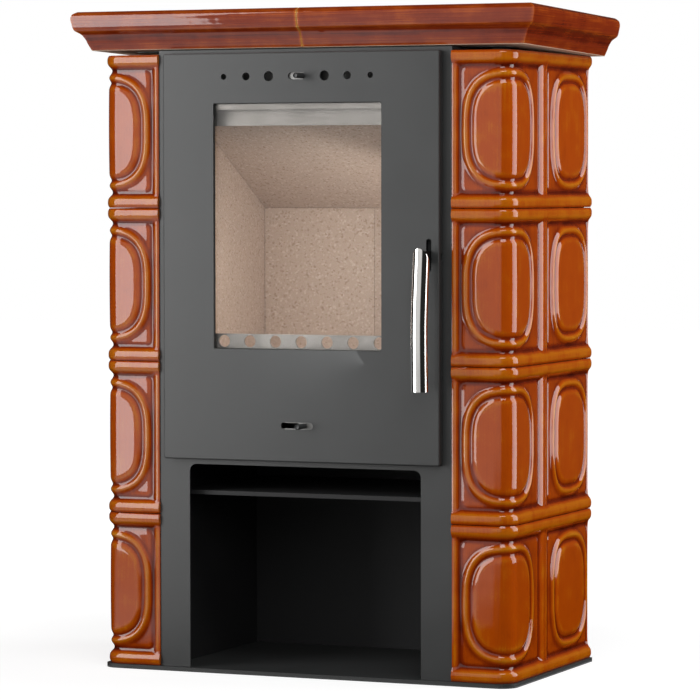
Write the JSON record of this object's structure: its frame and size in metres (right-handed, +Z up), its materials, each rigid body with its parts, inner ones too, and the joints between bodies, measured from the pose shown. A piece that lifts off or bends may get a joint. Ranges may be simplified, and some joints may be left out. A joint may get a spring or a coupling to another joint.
{
  "type": "tiled stove",
  "caption": "Steel wood stove faced with glazed relief tiles under a moulded cornice, with a glazed door, a bar handle, air slides and an open wood niche.",
  "frame": {"origin": "centre of the base plate's underside, on the floor", "axes": "+X to the right seen from the front, -Y out of the front towards the user, +Z up"},
  "size_m": [0.7118, 0.398, 0.9482],
  "materials": {
    "amber_glaze": "glossy translucent honey glaze, darker where it pools",
    "dark_glaze": "glossy dark red-brown glaze",
    "matt_paint": "matt anthracite stove paint",
    "black_paint": "matt black heat-resistant paint",
    "plain_steel": "bare rolled sheet",
    "polished_steel": "polished",
    "cast_iron": "as cast, blackened",
    "vermiculite_board": "pressed board with pale flecks",
    "seal_rope": "black woven glass-fibre rope",
    "pane_glass": "clear glass ceramic"
  },
  "bodies": {
    "stove": {"base_plate": "matt_paint", "front_frame": "matt_paint", "side_panel_left": "black_paint", "side_panel_right": "black_paint", "back_panel": "black_paint", "niche_back": "black_paint", "heat_shield": "black_paint", "firebox_shell": "black_paint", "top_plate": "plain_steel", "flue_collar": "cast_iron", "cornice_left": "dark_glaze", "cornice_right": "dark_glaze", "corner_tile_left_1": "amber_glaze", "corner_tile_left_2": "amber_glaze", "corner_tile_left_3": "amber_glaze", "corner_tile_left_4": "amber_glaze", "corner_tile_right_1": "amber_glaze", "corner_tile_right_2": "amber_glaze", "corner_tile_right_3": "amber_glaze", "corner_tile_right_4": "amber_glaze", "side_tile_left_1": "amber_glaze", "side_tile_left_2": "amber_glaze", "side_tile_left_3": "amber_glaze", "side_tile_left_4": "amber_glaze", "side_tile_right_1": "amber_glaze", "side_tile_right_2": "amber_glaze", "side_tile_right_3": "amber_glaze", "side_tile_right_4": "amber_glaze", "tile_rail_front_left": "plain_steel", "tile_rail_front_right": "plain_steel", "tile_rail_rear_left": "plain_steel", "tile_rail_rear_right": "plain_steel", "cornice_bed": "seal_rope", "side_lining_left": "vermiculite_board", "side_lining_right": "vermiculite_board", "back_lining_left": "vermiculite_board", "back_lining_right": "vermiculite_board", "baffle_board": "vermiculite_board", "hearth_slab": "vermiculite_board", "grate": "cast_iron", "log_guard": "plain_steel", "air_deflector": "plain_steel", "latch_catch": "plain_steel", "hinge_bracket_lower": "plain_steel", "hinge_bracket_upper": "plain_steel"},
    "door": {"door_panel": "matt_paint", "door_inner_frame": "matt_paint", "door_seal": "seal_rope", "door_glass": "pane_glass", "glass_seal": "seal_rope", "glass_strip_upper": "plain_steel", "glass_strip_lower": "plain_steel"},
    "handle": {"latch_lever": "cast_iron", "handle_tube": "polished_steel"},
    "upper_air": {"upper_air_slide": "plain_steel", "upper_air_pin": "matt_paint"},
    "lower_air": {"lower_air_slide": "plain_steel", "lower_air_pin": "matt_paint"},
    "ash_drawer": {"ash_pan": "plain_steel"}
  },
  "joints": [
    {"name": "door_hinge", "type": "hinge", "parent": "stove", "child": "door", "pos_m": [-0.206, -0.1685, 0.6], "axis": [0, 0, -1], "range_deg": [0, 110]},
    {"name": "handle_lift", "type": "hinge", "parent": "door", "child": "handle", "pos_m": [0.1969, -0.167, 0.5985], "axis": [-1, 0, 0], "range_deg": [0, 35]},
    {"name": "upper_air_travel", "type": "slide", "parent": "door", "child": "upper_air", "axis": [1, 0, 0], "range_m": [-0.0175, 0]},
    {"name": "lower_air_travel", "type": "slide", "parent": "door", "child": "lower_air", "axis": [1, 0, 0], "range_m": [-0.031, 0.0104]},
    {"name": "ash_pan_travel", "type": "slide", "parent": "stove", "child": "ash_drawer", "axis": [0, -1, 0], "range_m": [0, 0.151]}
  ],
  "couplings": [
    {"joint": "ash_pan_travel", "follows": "door_hinge", "m_per_rad": 0.0781}
  ]
}
